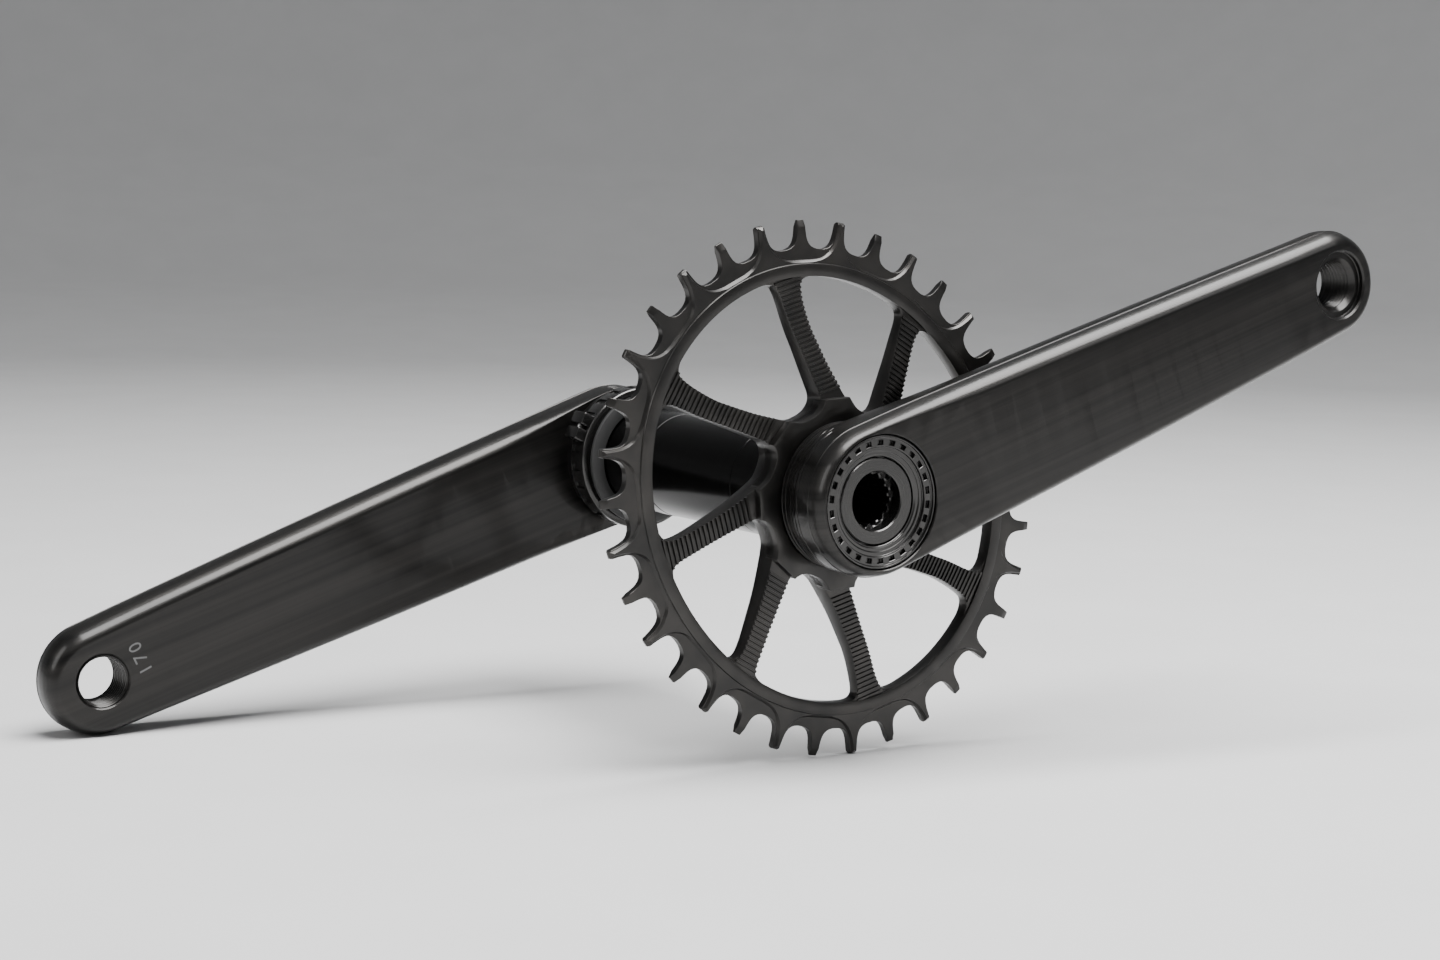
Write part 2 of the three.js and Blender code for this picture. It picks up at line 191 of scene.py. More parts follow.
def arm_finish():
    """Black anodised billet: long cutter bands on the faces, fine steps round the edges."""
    f = Finish("arm_black_anodised", Metallic=0.92, Coat_Roughness=0.12, Coat_IOR=1.45)
    place, x, y, z = f.level_mm()
    along = f.function("ABSOLUTE", x)
    lean = f.clamped((along - 18) / 140, 0.0, 1.0) * ARM_LEAN
    depth = f.function("ABSOLUTE", y) - lean - (HUB_FACE - HALF_THICK)
    share = f.clamped(depth / HALF_THICK, -0.999, 0.999)
    round_edge = f.function("ARCSINE", share)
    steps = f.function("SINE", round_edge * 74.0) * 0.5 + 0.5
    flat = f.clamped((f.function("ABSOLUTE", share) - 0.985) * 90, 0.0, 1.0)
    edge_steps = steps * (1 - flat)
    bands = f.noise(f.vector(x * 0.004, 0.0, z * 0.34 + x * 0.004), 1.0, 3.0, 0.62)
    fine = f.noise(f.vector(x * 0.02, y * 0.4, z * 4.5), 1.0, 2.0)
    grain = f.noise(place, 6.0, 2.0)
    tone = f.clamped((bands - 0.38) * 3.2, 0.0, 1.0)
    f.feed("Base Color", f.blend(tone, grey(0.017, 0.03), grey(0.03, 0.06)))
    f.feed("Roughness", 0.25 + tone * 0.11 + fine * 0.07 + grain * 0.03)
    f.feed("Coat Weight", 0.22 + edge_steps * 0.1)
    f.bump(edge_steps * 0.8 + fine * flat * 0.35 + bands * flat * 0.5 + grain * 0.08, 0.55, 0.035)
    return f


def ring_finish():
    """Chainring: faced flat, so the marks run round the spindle, with a satin anodised skin."""
    f = Finish("ring_black_anodised", Metallic=0.92, Coat_Roughness=0.16, Coat_IOR=1.45)
    place, x, y, z = f.level_mm()
    radius = f.function("SQRT", x * x + z * z)
    turning = f.noise(f.vector(radius * 2.4, y * 1.5, 0.0), 1.0, 3.0, 0.7)
    cloud = f.noise(place, 0.09, 3.0)
    grain = f.noise(place, 5.0, 2.0)
    tone = f.clamped((cloud - 0.35) * 2.6, 0.0, 1.0)
    f.feed("Base Color", f.blend(tone, grey(0.024, 0.03), grey(0.037, 0.07)))
    f.feed("Roughness", 0.27 + turning * 0.12 + grain * 0.05)
    f.feed("Coat Weight", 0.18 + tone * 0.12)
    f.bump(turning * 0.7 + grain * 0.25, 0.4, 0.02)
    return f


def turned_finish(name, colour, rough, pitch, coat=0.25):
    """Lathe work: fine rings round the spindle axis on faces and on round walls."""
    f = Finish(name, Metallic=0.92, Coat_Roughness=0.1, Coat_IOR=1.45)
    place, x, y, z = f.level_mm()
    radius = f.function("SQRT", x * x + z * z)
    rings = f.noise(f.vector(radius * pitch, y * pitch, 0.0), 1.0, 3.0, 0.65)
    grain = f.noise(place, 4.0, 2.0)
    f.feed("Base Color", f.blend(rings, grey(colour * 0.8), grey(colour * 1.3, 0.04)))
    f.feed("Roughness", rough + rings * 0.1 + grain * 0.04)
    f.feed("Coat Weight", coat + rings * 0.1)
    f.bump(rings * 0.8 + grain * 0.12, 0.35, 0.02)
    return f


def steel_finish():
    f = Finish("ground_steel", Metallic=1.0)
    place, x, y, z = f.level_mm()
    radius = f.function("SQRT", x * x + z * z)
    rings = f.noise(f.vector(radius * 7.0, y * 7.0, 0.0), 1.0, 3.0, 0.7)
    f.feed("Base Color", f.blend(rings, grey(0.34), grey(0.52, 0.02)))
    f.feed("Roughness", 0.24 + rings * 0.16)
    f.bump(rings, 0.3, 0.015)
    return f


def soft_finish(name, dark, light, rough, scale):
    """Rubber and moulded plastic: a fine matt pebble."""
    f = Finish(name, Metallic=0.0)
    place = f.level_mm()[0]
    pebble = f.noise(place, scale, 3.0, 0.6)
    cloud = f.noise(place, 0.3, 2.0)
    f.feed("Base Color", f.blend(cloud, grey(dark), grey(light)))
    f.feed("Roughness", rough + pebble * 0.15)
    f.bump(pebble, 0.5, 0.04)
    return f


ARM_BLACK = arm_finish()
RING_BLACK = ring_finish()
HARDWARE_BLACK = turned_finish("hardware_black_anodised", 0.045, 0.18, 3.2)
SPINDLE_BLACK = turned_finish("spindle_gloss_black", 0.005, 0.14, 1.1, coat=0.0)
BOLT_BLACK = turned_finish("bolt_black_anodised", 0.04, 0.2, 4.0)
STEEL = steel_finish()
MARK_GREY = soft_finish("length_mark_grey", 0.08, 0.12, 0.5, 3.0)
RUBBER = soft_finish("seal_rubber", 0.010, 0.016, 0.62, 3.0)
PLASTIC = soft_finish("washer_plastic", 0.016, 0.024, 0.42, 1.6)

FINISH_OF_SLOT = {
    "arm_black": ARM_BLACK,
    "ring_black": RING_BLACK,
    "hardware_black": HARDWARE_BLACK,
    "spindle_black": SPINDLE_BLACK,
    "bolt_black": BOLT_BLACK,
    "steel": STEEL,
    "rubber": RUBBER,
    "plastic": PLASTIC,
}
SLOT_OF_NODE = {part["node"]: part["material_slot"] for part in frame["record"]["subparts"]}
BODY_OF_NODE = {
    node: body
    for body, nodes in frame["record"]["behaviour"]["bodies"].items()
    for node in nodes
}


# ---------------------------------------------------------------- shaping helpers


def ease_edges(bm, width, sharper_than=35, segments=2):
    bm.normal_update()
    limit = math.radians(sharper_than)
    edges = [e for e in bm.edges if len(e.link_faces) == 2 and e.calc_face_angle(0) > limit]
    bmesh.ops.bevel(
        bm,
        geom=edges,
        offset=width,
        offset_type="OFFSET",
        affect="EDGES",
        segments=segments,
        profile=0.5,
        material=-1,
        clamp_overlap=True,
    )


def settle(bm, node, name=None, crease=28):
    """Turns the level millimetre mesh into a piece that stands for a CAD node."""
    bmesh.ops.remove_doubles(bm, verts=bm.verts, dist=MERGE_DISTANCE)
    bmesh.ops.recalc_face_normals(bm, faces=bm.faces)
    bmesh.ops.transform(bm, matrix=LEVEL_TO_CRANK, verts=bm.verts)
    limit = math.radians(crease)
    for face in bm.faces:
        face.smooth = True
    for edge in bm.edges:
        edge.smooth = edge.calc_face_angle(0) < limit
    mesh = bpy.data.meshes.new(name or node + "_body")
    bm.to_mesh(mesh)
    bm.free()
    piece = bpy.data.objects.new(name or node + "_body", mesh)
    bpy.context.scene.collection.objects.link(piece)
    slot = SLOT_OF_NODE[node]
    mesh.materials.append(FINISH_OF_SLOT[slot].material)
    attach(piece, BODY_OF_NODE[node])
    if name is None:
        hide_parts(node)
    return piece


def loop_edges(bm, points):
    """A closed loop of edges through (x, y, z) points."""
    verts = [bm.verts.new(point) for point in points]
    return verts, [bm.edges.new(pair) for pair in zip(verts, verts[1:] + verts[:1])]


def round_rim(bm, centre_x, y, radius, segments):
    place = Matrix.Translation((centre_x, y, 0)) @ UPRIGHT
    out = bmesh.ops.create_circle(
        bm, cap_ends=False, radius=radius, segments=segments, matrix=place
    )
    return list({edge for vert in out["verts"] for edge in vert.link_edges})


def pulled(bm, edges):
    """Extrudes a rim and gives back its new vertices and edges."""
    out = bmesh.ops.extrude_edge_only(bm, edges=edges)["geom"]
    verts = {item for item in out if isinstance(item, bmesh.types.BMVert)}
    fresh = [
        item
        for item in out
        if isinstance(item, bmesh.types.BMEdge) and all(v in verts for v in item.verts)
    ]
    return verts, fresh


def carry_rim(bm, edges, centre_x, steps):
    """Extrudes a round rim through (radius, y) steps about an axis along Y."""
    for radius, y in steps:
        verts, edges = pulled(bm, edges)
        for vert in verts:
            away = Vector((vert.co.x - centre_x, 0, vert.co.z)).normalized()
            vert.co = Vector((centre_x + away.x * radius, y, away.z * radius))


def spun(bm, profile, side=1, steps=96):
    """Spins a closed profile of (radius, out) points round the spindle axis."""
    verts, edges = loop_edges(bm, [(r, side * out, 0) for r, out in profile])
    return bmesh.ops.spin(
        bm,
        geom=verts + edges,
        cent=(0, 0, 0),
        axis=(0, 1, 0),
        angle=2 * math.pi,
        steps=steps,
        use_merge=True,
    )


def ring_profile(inner, outer, low, high):
    return [(inner, low), (outer, low), (outer, high), (inner, high)]


def in_sector(face, first, last, count):
    """Whether a face's middle lies in the given part of one of count equal sectors."""
    middle = face.calc_center_median()
    part = math.atan2(middle.z, middle.x) / (2 * math.pi) * count % 1
    return first <= part < last


# ---------------------------------------------------------------- arms


def smooth_step(value, low, high):
    t = min(1, max(0, (value - low) / (high - low)))
    return t * t * (3 - 2 * t)


def arm_half(x):
    """Half the arm's width at a distance from the hub."""
    return ARM_HUB_R - (ARM_HUB_R - ARM_EYE_R) * (max(0, x) / ARM_LENGTH) ** 1.4


def arm_outline():
    """The arm's widest outline, at the middle of its thickness."""
    points = []
    for i in range(49):
        a = math.radians(90 + 180 * i / 48)
        points.append((ARM_HUB_R * math.cos(a), ARM_HUB_R * math.sin(a)))
    steps = [ARM_LENGTH * i / 42 for i in range(1, 42)]
    points += [(x, -arm_half(x)) for x in steps]
    for i in range(41):
        a = math.radians(-90 + 180 * i / 40)
        points.append((ARM_LENGTH + ARM_EYE_R * math.cos(a), ARM_EYE_R * math.sin(a)))
    points += [(x, arm_half(x)) for x in reversed(steps)]
    return points


def edge_round(outward, x, outboard):
    """How far the face edge stands in from the widest outline."""
    hub = 2.2 if outboard else 0.6
    along = 3.75 + 0.55 * outward.z
    return hub + (along - hub) * smooth_step(x, 0, 46)


def outward_of(co):
    """The direction away from the arm's middle line."""
    core = Vector((min(max(co.x, 0), ARM_LENGTH), co.y, 0))
    away = co - core
    away.y = 0
    return away.normalized()


PARTING_BEAD = [(1.65, 0), (1.8, -0.16), (2.05, -0.16), (2.2, 0)]
HUB_GROOVES = [(2.5, 0), (2.65, 0.3), (2.85, 0.3), (3.0, 0), (4.0, 0), (4.15, 0.3), (4.35, 0.3)]
HUB_GROOVES += [(4.5, 0), (5.5, 0), (5.65, 0.3), (5.85, 0.3), (6.0, 0)]


def wrap_edge(bm, edges, outboard):
    """Rolls the widest outline over to the flat face on one side."""
    mid = HUB_FACE - HALF_THICK
    sign = 1 if outboard else -1
    marks = PARTING_BEAD if outboard else HUB_GROOVES
    rolls = [math.radians(a) for a in (4, 9, 20, 26, 32, 38, 44, 50, 56, 62, 68, 74, 80, 85, 90)]
    levels = [(HALF_THICK * math.sin(a), 0, False) for a in rolls]
    levels = sorted(levels + [(depth, step, outboard) for depth, step in marks])
    for depth, step, everywhere in levels:
        inset = 1 - math.sqrt(max(0, 1 - (depth / HALF_THICK) ** 2))
        verts, edges = pulled(bm, edges)
        for vert in verts:
            away = outward_of(vert.co)
            amount = inset * edge_round(away, vert.co.x, outboard)
            amount += step if everywhere else step * smooth_step(-vert.co.x, 0, 8)
            vert.co = rim_of(vert.co, away) - away * amount
            vert.co.y = -(mid + sign * depth)
    return edges


def rim_of(co, away):
    """The point of the widest outline that a point belongs to."""
    if co.x < 0:
        return away * ARM_HUB_R
    if co.x > ARM_LENGTH:
        return Vector((ARM_LENGTH, 0, 0)) + away * ARM_EYE_R
    return Vector((co.x, 0, away.z * arm_half(co.x)))


def lean_out(bm):
    """Bends the arm gently outboard towards the pedal."""
    for x in range(8, 168, 8):
        geom = bm.verts[:] + bm.edges[:] + bm.faces[:]
        bmesh.ops.bisect_plane(bm, geom=geom, dist=1e-5, plane_co=(x, 0, 0), plane_no=(1, 0, 0))
    for vert in bm.verts:
        vert.co.y -= ARM_LEAN * min(1, max(0, (vert.co.x - 18) / 140))


def pedal_thread(back):
    """Steps of the threaded pedal eye, from its seat to the inner face."""
    seat = HUB_FACE - 1.8
    steps = [(9.95, HUB_FACE - 0.25), (9.7, HUB_FACE - 0.5), (9.7, seat + 0.15), (9.5, seat)]
    steps += [(7.9, seat), (7.15, seat - 0.75)]
    pitch = 1.27
    out = seat - 1.0
    while out > back + 1.4:
        steps += [(6.62, out - 0.3 * pitch), (6.62, out - 0.45 * pitch), (7.15, out - 0.75 * pitch)]
        steps += [(7.15, out - 0.9 * pitch)]
        out -= pitch
    return steps + [(7.15, back + 0.6), (7.75, back)]


def crank_arm(inboard_steps):
    """One arm lying along +X, with its eye, its stepped bore and its collar."""
    bm = bmesh.new()
    mid = HUB_FACE - HALF_THICK
    back = HUB_FACE - ARM_THICK
    outline = [(x, -mid, z) for x, z in arm_outline()]
    _, widest = loop_edges(bm, outline)
    front_edge = wrap_edge(bm, widest, True)
    back_edge = wrap_edge(bm, widest, False)
    eye_front = round_rim(bm, ARM_LENGTH, -HUB_FACE, 10.2, 64)
    hub_front = round_rim(bm, 0, -HUB_FACE, 18.05, 96)
    eye_back = round_rim(bm, ARM_LENGTH, -back, 7.75, 64)
    collar_r = inboard_steps[-1][0]
    hub_back = round_rim(bm, 0, -back, collar_r, 96)
    bmesh.ops.triangle_fill(bm, edges=front_edge + eye_front + hub_front, use_beauty=True)
    bmesh.ops.triangle_fill(bm, edges=back_edge + eye_back + hub_back, use_beauty=True)
    carry_rim(bm, eye_front, ARM_LENGTH, [(r, -out) for r, out in pedal_thread(back)])
    bore = [(17.8, HUB_FACE - 0.25), (17.8, 65.6), (14.2, 65.6), (14.2, 62.6), (10.9, 62.6)]
    bore += [(10.9, 60.6), (13.2, 60.6)]
    carry_rim(bm, hub_front, 0, [(r, -out) for r, out in bore + inboard_steps])
    bmesh.ops.remove_doubles(bm, verts=bm.verts, dist=MERGE_DISTANCE)
    lean_out(bm)
    return bm


def drive_collar():
    """From the spline bore round the chainring boss and up the grooved collar."""
    steps = [(13.2, 44.6), (13.4, 44.4), (16.8, 44.4), (17.0, 44.6), (17.0, 53.4), (19.3, 53.4)]
    steps += [(19.6, 53.7)]
    for out in (54.4, 55.9):
        steps += [(19.6, out - 0.3), (19.25, out - 0.15), (19.25, out + 0.15), (19.6, out + 0.3)]
    return steps + [(19.6, HUB_FACE - ARM_THICK)]


def left_collar():
    """From the spline bore round the threaded neck and up the plain collar."""
    steps = [(13.2, 48.5), (13.4, 48.3), (16.4, 48.3), (16.7, 48.6)]
    out = 49.0
    while out < 52.6:
        steps += [(16.7, out), (16.35, out + 0.25), (16.35, out + 0.45), (16.7, out + 0.7)]
        out += 1.0
    return steps + [(16.7, 53.9), (19.3, 53.9), (19.6, 54.2), (19.6, HUB_FACE - ARM_THICK)]


def length_mark():
    """The crank length in millimetres, cut beside the left pedal eye."""
    curve = bpy.data.curves.new("length_mark", "FONT")
    curve.body = str(round(ARM_LENGTH))
    curve.size = 5.2
    curve.space_character = 1.35
    curve.align_x = curve.align_y = "CENTER"
    curve.extrude = 0.05
    curve.resolution_u = 4
    text = bpy.data.objects.new("length_mark_text", curve)
    mesh = bpy.data.meshes.new_from_object(text)
    bpy.data.objects.remove(text)
    bm = bmesh.new()
    bm.from_mesh(mesh)
    turn = Matrix.Rotation(math.radians(-96), 4, "Y") @ UPRIGHT
    place = Matrix.Translation((11.8 - ARM_LENGTH, HUB_FACE - ARM_THICK - 0.05, 1.8)) @ turn
    bmesh.ops.transform(bm, matrix=place, verts=bm.verts)
    for vert in bm.verts:
        vert.co.y += ARM_LEAN * (-vert.co.x - 18) / 140
    piece = settle(bm, "left_arm", "length_mark")
    piece.data.materials[0] = MARK_GREY.material


def build_arms():
    settle(crank_arm(drive_collar()), "drive_arm", crease=24)
    bm = crank_arm(left_collar())
    bmesh.ops.rotate(bm, cent=(0, 0, 0), matrix=Matrix.Rotation(math.pi, 3, "Z"), verts=bm.verts)
    settle(bm, "left_arm", crease=24)
    length_mark()


# ---------------------------------------------------------------- chainring

CHAIN_PITCH = 12.7
TEETH = 34
TIP_R = CHAIN_PITCH * TEETH / (2 * math.pi) + 2.2
OVALITY = 0.059
OVAL_ANGLE = 110.2
FIRST_TOOTH = 160.9
RIM = 14.7
SPOKES = 8
FIRST_SPOKE = 41
HUB_STEP_R = 26.4
DISH = 2.8
DISH_START_R = 52
DISH_FULL_R = 25
ROOT_MIDDLE = -7.9
TOOTH = [(4.9, -7.72), (3.9, -7.42), (3.0, -6.95), (2.3, -6.25), (1.85, -5.4), (1.55, -4.4)]
TOOTH += [(1.35, -3.1), (1.22, -1.9), (1.12, -0.4), (0.98, 0.0)]
SPINE_FOOT = [(5.8, -10.2), (4.8, -9.75), (3.8, -9.0), (2.9, -8.0), (2.15, -6.8), (1.6, -5.5)]
SPINE_FOOT += [(1.25, -4.0), (1.0, -2.4), (0.85, -1.0), (0.75, -0.25)]
SPINE_CREST = [(6.2, -10.95), (5.3, -10.6), (4.2, -9.95), (3.1, -9.05), (2.1, -7.8), (1.3, -6.3)]
SPINE_CREST += [(0.78, -4.6), (0.45, -2.9), (0.3, -1.6), (0.22, -1.0)]


def tip_radius(deg):
    return TIP_R * (1 + OVALITY * math.cos(2 * math.radians(deg - OVAL_ANGLE)))


def polar(radius, deg):
    a = math.radians(deg)
    return Vector((radius * math.cos(a), 0, radius * math.sin(a)))


def on_oval(deg, along, out):
    """A point beside the oval of tooth tips, in its tangent and outward directions."""
    here = polar(tip_radius(deg), deg)
    tangent = (polar(tip_radius(deg + 0.1), deg + 0.1) - here).normalized()
    outward = Vector((tangent.z, 0, -tangent.x))
    return here + tangent * along + outward * out


def tooth_angles():
    """Tooth angles at even spacing along the oval, and that spacing."""
    steps = 3600
    around = [FIRST_TOOTH + i / 10 for i in range(steps + 1)]
    ends = [polar(tip_radius(deg), deg) for deg in around]
    lengths = [0.0]
    for a, b in zip(ends, ends[1:]):
        lengths.append(lengths[-1] + (b - a).length)
    spacing = lengths[-1] / TEETH
    angles = []
    i = 0
    for k in range(TEETH):
        while lengths[i + 1] < k * spacing:
            i += 1
        part = (k * spacing - lengths[i]) / (lengths[i + 1] - lengths[i])
        angles.append(FIRST_TOOTH + (i + part) / 10)
    return angles, spacing


def is_wide(k):
    return k % 2 == 1


def tooth_outline(angles, spacing, tip_cut):
    """All the teeth at the thin plate's width; the tips stop short where they are chamfered."""
    points = []
    for k, angle in enumerate(angles):
        points.append(on_oval(angle, -spacing / 2, ROOT_MIDDLE))
        cut = -0.5 if is_wide(k) else tip_cut
        for side in (-1, 1):
            flank = TOOTH if side < 0 else TOOTH[::-1]
            for s, d in flank:
                level = min(d, cut) if tip_cut else d
                points.append(on_oval(angle, side * s, level + (0.02 * d if level != d else 0)))
    return points


def spine_outline(angles, profile, valley):
    """The raised part: a spine up every wide tooth, dipping in a pocket round every narrow one."""
    points = []
    for k, angle in enumerate(angles):
        if is_wide(k):
            points += [on_oval(angle, -s, d) for s, d in profile]
            points += [on_oval(angle, s, d) for s, d in reversed(profile)]
        else:
            points += [on_oval(angle, s, valley) for s in (-3.4, 0, 3.4)]
    return points


def softened(points, rounds=2):
    """Cuts the corners of a closed outline."""
    for _ in range(rounds):
        cut = []
        for a, b in zip(points, points[1:] + points[:1]):
            cut += [a.lerp(b, 0.25), a.lerp(b, 0.75)]
        points = cut
    return points


def slab(bm, levels, holes):
    """A plate through (level, outline) pairs from front to back, with straight holes."""
    rims = []
    for level, outline in levels:
        points = [(p.x, -(TOOTH_PLANE + level), p.z) for p in outline]
        rims.append(loop_edges(bm, points)[1])
    for front, back in zip(rims, rims[1:]):
        bmesh.ops.bridge_loops(bm, edges=front + back)
    ends = []
    for level, rim in ((levels[0][0], rims[0]), (levels[-1][0], rims[-1])):
        loops = []
        for hole in holes:
            points = [(p.x, -(TOOTH_PLANE + level), p.z) for p in hole]
            loops.append(loop_edges(bm, points)[1])
        edges = rim + [edge for loop in loops for edge in loop]
        bmesh.ops.triangle_fill(bm, edges=edges, use_beauty=True)
        ends.append(loops)
    for front, back in zip(*ends):
        bmesh.ops.bridge_loops(bm, edges=front + back)


def dish(radius):
    """How much further out the spokes stand as they near the hub."""
    return DISH * min(1, max(0, (DISH_START_R - radius) / (DISH_START_R - DISH_FULL_R)))


def window(a):
    """One window: a nearly straight side, the rim, and a side that sweeps into the hub."""
    rim = lambda deg: tip_radius(a + deg) - RIM
    points = [(26.6, -3.1), (29.6, -1.7), (34, -0.2), (40, 1.3), (46, 2.7)]
    points += [(rim(5) - 3.0, 3.4), (rim(6) - 0.8, 4.7)]
    points += [(rim(deg), deg) for deg in (8.4, 14, 20, 26, 32, 37)]
    points += [(rim(42) - 0.8, 40.3), (rim(43) - 3.0, 41.5), (46, 40.7), (40, 38.2)]
    points += [(34.5, 35), (30.5, 31.2), (27.6, 27.4), (25, 22.8), (23.2, 18), (22.6, 11)]
    points += [(22.9, 3.5), (24.6, -1.8)]
    return softened([polar(r, a + deg) for r, deg in points])


def spoke_sides(k):
    """A spoke's two edges as (distance out, sideways) pairs in its own direction."""
    middle = FIRST_SPOKE + 360 * k / SPOKES
    along, across = polar(1, middle), polar(1, middle + 90)
    sides = []
    for a, nearer in ((middle, 1), (middle - 45, -1)):
        pairs = []
        for p in window(a):
            t, s = p.dot(along), p.dot(across)
            turn = (math.degrees(math.atan2(p.z, p.x)) - a) % 360
            clear_of_rim = p.length < tip_radius(a + turn) - RIM - 1.2
            beside = (turn > 180 or turn < 12) if nearer > 0 else 20 < turn < 180
            if beside and clear_of_rim:
                pairs.append((t, s))
        sides.append(sorted(pairs))
    return middle, sides


def side_at(pairs, t):
    for (t0, s0), (t1, s1) in zip(pairs, pairs[1:]):
        if t0 <= t <= t1 and t1 > t0:
            return s0 + (s1 - s0) * (t - t0) / (t1 - t0)
    return pairs[-1][1] if t > pairs[-1][0] else pairs[0][1]


def add_ridges(bm):
    """Rows of cutter ridges across each spoke's face."""
    pitch = 1.34
    for k in range(SPOKES):
        middle, (plus_side, minus_side) = spoke_sides(k)
        turn = Matrix.Rotation(-math.radians(middle), 4, "Y")
        end = tip_radius(middle) - RIM - 0.2
        t = HUB_STEP_R + 1.1
        while t < end:
            s0, s1 = side_at(plus_side, t), side_at(minus_side, t)
            length, centre = min(16, abs(s0 - s1)) - 0.06, (s0 + s1) / 2
            front = TOOTH_PLANE + 2.12 + dish(t)
            size = Matrix.Diagonal((1.0, 0.62, length, 1))
            place = Matrix.Translation((t, -(front - 0.31), centre))
            out = bmesh.ops.create_cube(bm, size=1, matrix=place @ size)
            tops = [v for v in out["verts"] if v.co.y < -(front - 0.31)]
            middle_top = sum((v.co for v in tops), Vector()) / len(tops)
            shrink = Matrix.Translation(middle_top) @ Matrix.Diagonal((0.55, 1, 0.985, 1))
            shrink = shrink @ Matrix.Translation(-middle_top)
            bmesh.ops.transform(bm, matrix=shrink, verts=tops)
            bmesh.ops.transform(bm, matrix=turn, verts=out["verts"])
            t += pitch


def hub_star():
    """Outline of the raised hub plate, which ends in a straight step on every spoke."""
    points = []
    for k in range(SPOKES):
        outline = window(FIRST_SPOKE + 360 * k / SPOKES)
        far = max(range(len(outline)), key=lambda i: outline[i].length)
        outline = outline[far:] + outline[:far]
        points += [p for p in reversed(outline) if p.length < HUB_STEP_R]
    return points


def build_chainring():
    angles, spacing = tooth_angles()
    around = [i * 2.0 for i in range(180)]
    inner = [on_oval(a, 0, -12.6) for a in around]
    band = [on_oval(a, 0, -RIM) for a in around]
    full = tooth_outline(angles, spacing, None)
    cut = tooth_outline(angles, spacing, -1.9)
    bm = bmesh.new()
    slab(bm, [(1.05, cut), (0.4, full), (-0.4, full), (-1.05, cut)], [inner])
    ease_edges(bm, 0.09, 32, 1)
    spines = bmesh.new()
    crest = spine_outline(angles, SPINE_CREST, -11.1)
    foot = spine_outline(angles, SPINE_FOOT, -10.35)
    slab(spines, [(1.8, crest), (0.95, foot), (-0.95, foot), (-1.8, crest)], [inner])
    absorb(bm, spines)
    rim = bmesh.new()
    shoulder = [on_oval(a, 0, -11.4) for a in around]
    edge = [on_oval(a, 0, -11.0) for a in around]
    slab(rim, [(2.25, shoulder), (1.1, edge), (-1.1, edge), (-2.0, shoulder)], [band])
    ease_edges(rim, 0.15, 50, 2)
    absorb(bm, rim)
    web = bmesh.new()
    bore = [polar(17.3, a) for a in range(0, 360, 4)]
    holes = [bore] + [window(FIRST_SPOKE + 360 * k / SPOKES) for k in range(SPOKES)]
    outside = [on_oval(a, 0, -12.0) for a in around]
    slab(web, [(1.72, outside), (-1.9, outside)], holes)
    for vert in web.verts:
        if vert.co.y < -TOOTH_PLANE:
            vert.co.y -= dish(math.hypot(vert.co.x, vert.co.z))
    ease_edges(web, 0.2, 50, 2)
    absorb(bm, web)
    star = bmesh.new()
    outline = hub_star()
    slab(star, [(6.7, outline), (1.0, outline)], [bore])
    ease_edges(star, 0.25, 40, 2)
    absorb(bm, star)
    add_ridges(bm)
    settle(bm, "chainring", crease=26)


def reach(face):
    """How far a face's middle lies from the spindle axis."""
    middle = face.calc_center_median()
    return math.hypot(middle.x, middle.z)


def push_faces(bm, faces, push):
    """Raises or sinks faces by moving a copy of them and walling it in."""
    out = bmesh.ops.extrude_face_region(bm, geom=faces)
    push([item for item in out["geom"] if isinstance(item, bmesh.types.BMVert)])
    bmesh.ops.delete(bm, geom=faces, context="FACES")


def absorb(bm, other):
    """Adds a finished shell to a piece."""
    bmesh.ops.remove_doubles(other, verts=other.verts, dist=MERGE_DISTANCE)
    bmesh.ops.recalc_face_normals(other, faces=other.faces)
    mesh = bpy.data.meshes.new("shell")
    other.to_mesh(mesh)
    other.free()
    bm.from_mesh(mesh)
    bpy.data.meshes.remove(mesh)


# ---------------------------------------------------------------- turned pieces


def simple_ring(node, side, profile, ease=0.2, steps=96):
    bm = bmesh.new()
    spun(bm, profile, side, steps)
    ease_edges(bm, ease)
    settle(bm, node)


def extractor_cap(node, side):
    """Castellated cap: a bright rim, a ring of wrench notches and a stepped inner lip."""
    bm = bmesh.new()
    notches = 26
    profile = [(11.8, 67.4), (17.5, 67.4), (17.5, 71.2), (17.3, 71.4), (16.95, 71.4), (16.75, 70.7)]
    profile += [(16.2, 70.7), (14.9, 70.7), (14.5, 70.7), (14.3, 69.9), (13.3, 69.9), (13.1, 69.5)]
    profile += [(12.3, 69.5), (12.1, 69.2), (11.8, 69.2)]
    spun(bm, profile, side, notches * 6)
    bm.normal_update()
    floor = [
        f
        for f in bm.faces
        if abs(f.calc_center_median().y * side - 70.7) < 0.05
        and 14.95 < reach(f) < 16.15
        and in_sector(f, 0.0, 0.55, notches)
    ]
    sink = (0, -side * 1.1, 0)
    push_faces(bm, floor, lambda verts: bmesh.ops.translate(bm, verts=verts, vec=sink))
    ease_edges(bm, 0.1, 40, 1)
    settle(bm, node)


